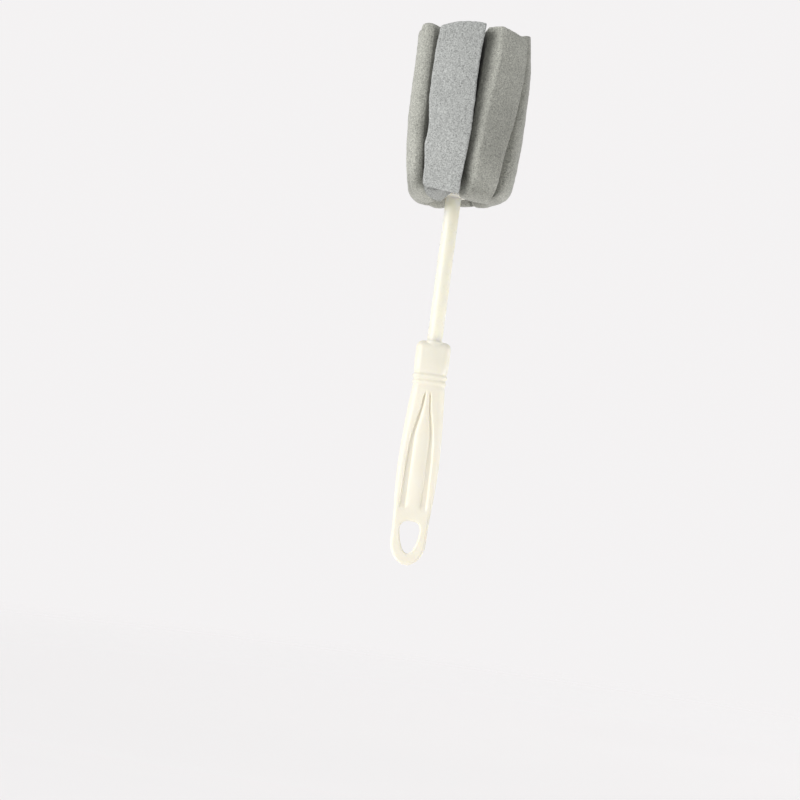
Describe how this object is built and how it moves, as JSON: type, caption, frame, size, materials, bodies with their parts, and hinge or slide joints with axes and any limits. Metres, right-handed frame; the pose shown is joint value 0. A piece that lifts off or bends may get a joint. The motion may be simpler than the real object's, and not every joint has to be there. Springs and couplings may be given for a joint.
{
  "type": "sponge cup brush",
  "caption": "Long-handled cup brush: a moulded grip with a hanging eye, a round rod and a cylindrical foam head cut into petals, domed button at the tip.",
  "frame": {"origin": "on the rod's axis, at the very end of the hanging eye, the lowest point of the brush held foam up", "axes": "+Z along the rod from the hanging eye towards the foam head; +X to the right across the grip's broad face as the picture shows it; -Y out of the grip's front face, towards the camera of the picture"},
  "size_m": [0.059, 0.0604, 0.2714],
  "materials": {
    "cream_plastic": "pale cream moulded plastic, satin gloss",
    "pale_plastic": "pale moulded plastic, matte",
    "grey_foam": "soft open-cell foam, grey, fine pores"
  },
  "bodies": {
    "root": {"grip": "cream_plastic", "stem": "cream_plastic", "foot_collar": "pale_plastic", "core_sleeve": "pale_plastic", "end_button": "pale_plastic", "petal_front": "grey_foam", "petal_front_right": "grey_foam", "petal_right": "grey_foam", "petal_back_right": "grey_foam", "petal_back": "grey_foam", "petal_back_left": "grey_foam", "petal_left": "grey_foam", "petal_front_left": "grey_foam"}
  },
  "joints": []
}
